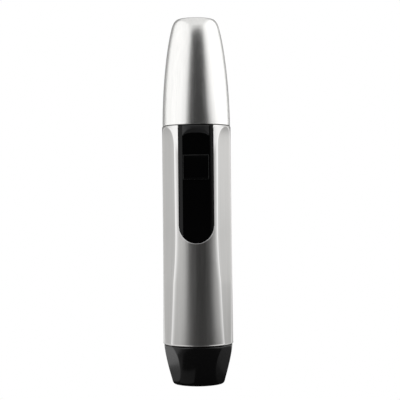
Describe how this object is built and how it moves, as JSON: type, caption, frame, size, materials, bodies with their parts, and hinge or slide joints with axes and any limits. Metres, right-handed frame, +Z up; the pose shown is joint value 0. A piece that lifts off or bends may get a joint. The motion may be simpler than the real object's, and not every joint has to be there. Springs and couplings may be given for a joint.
{
  "type": "nose hair trimmer",
  "caption": "Upright battery-powered nose hair trimmer with a faceted metal body, black slide switch panel, pull-off metal cap over a rotary cutter head, and a pull-off battery base.",
  "frame": {"origin": "centre of the flat foot of the base cap, on the trimmer's long axis", "axes": "+Z up the long axis from base to cap, -Y out of the front with the switch panel, +X to the right seen from the front"},
  "size_m": [0.0268, 0.0268, 0.14],
  "materials": {
    "cap_shell": "brushed lengthwise",
    "body_sleeve": "brushed lengthwise",
    "cap_liner": "moulded",
    "control_panel": "polished black",
    "slider_button": "polished black",
    "switch_housing": "tinned sheet",
    "circuit_board": "solder resist",
    "chassis": "moulded",
    "screw": "plated",
    "battery_can": "printed cell wrap",
    "battery_terminal": "plated",
    "contact": "stamped sheet",
    "spring": "spring wire",
    "motor_can": "plated",
    "white_plastic": "moulded",
    "motor_lead": "insulated wire",
    "shaft": "ground",
    "cutter": "ground",
    "neck_ring": "moulded",
    "seal": "moulded",
    "head_collar": "bright plated",
    "base_cap": "polished black"
  },
  "bodies": {
    "body": {"body_sleeve": "body_sleeve", "control_panel": "control_panel", "switch_housing": "switch_housing", "circuit_board": "circuit_board", "chassis_front": "chassis", "chassis_rear": "chassis", "chassis_screw_1": "screw", "chassis_screw_2": "screw", "chassis_screw_3": "screw", "chassis_screw_4": "screw", "positive_contact": "contact", "negative_strip": "contact", "motor_can": "motor_can", "motor_end_cap": "white_plastic", "motor_tab_positive": "contact", "motor_tab_negative": "contact", "motor_cushion": "seal", "motor_lead": "motor_lead", "neck_ring": "neck_ring", "neck_seal": "seal", "shaft_seal": "seal"},
    "cap": {"cap_shell": "cap_shell", "cap_liner": "cap_liner"},
    "head": {"head_collar": "head_collar", "guard_tube": "cutter"},
    "rotor": {"motor_shaft": "shaft", "drive_coupling": "white_plastic", "cutter_stem": "white_plastic", "cutter_spring": "spring", "inner_cutter": "cutter"},
    "switch_slider": {"slider_button": "slider_button", "slider_fork": "white_plastic"},
    "base": {"base_cap": "base_cap", "base_seal": "seal", "base_contact": "contact", "battery_spring": "spring"},
    "battery": {"battery_can": "battery_can", "battery_terminal": "battery_terminal"}
  },
  "joints": [
    {"name": "cap_pull", "type": "slide", "parent": "body", "child": "cap", "axis": [0, 0, 1], "range_m": [0, 0.045]},
    {"name": "head_twist", "type": "hinge", "parent": "body", "child": "head", "pos_m": [0, 0, 0.102], "axis": [0, 0, 1], "range_deg": [0, 30]},
    {"name": "cutter_spin", "type": "hinge", "parent": "body", "child": "rotor", "pos_m": [0, 0, 0.095], "axis": [0, 0, 1], "continuous": true},
    {"name": "switch_slide", "type": "slide", "parent": "body", "child": "switch_slider", "axis": [0, 0, 1], "range_m": [0, 0.005]},
    {"name": "base_pull", "type": "slide", "parent": "body", "child": "base", "axis": [0, 0, -1], "range_m": [0, 0.075]},
    {"name": "battery_drop", "type": "slide", "parent": "body", "child": "battery", "axis": [0, 0, -1], "range_m": [0, 0.061]}
  ],
  "couplings": [
    {"joint": "battery_drop", "follows": "base_pull", "ratio": 0.8}
  ]
}
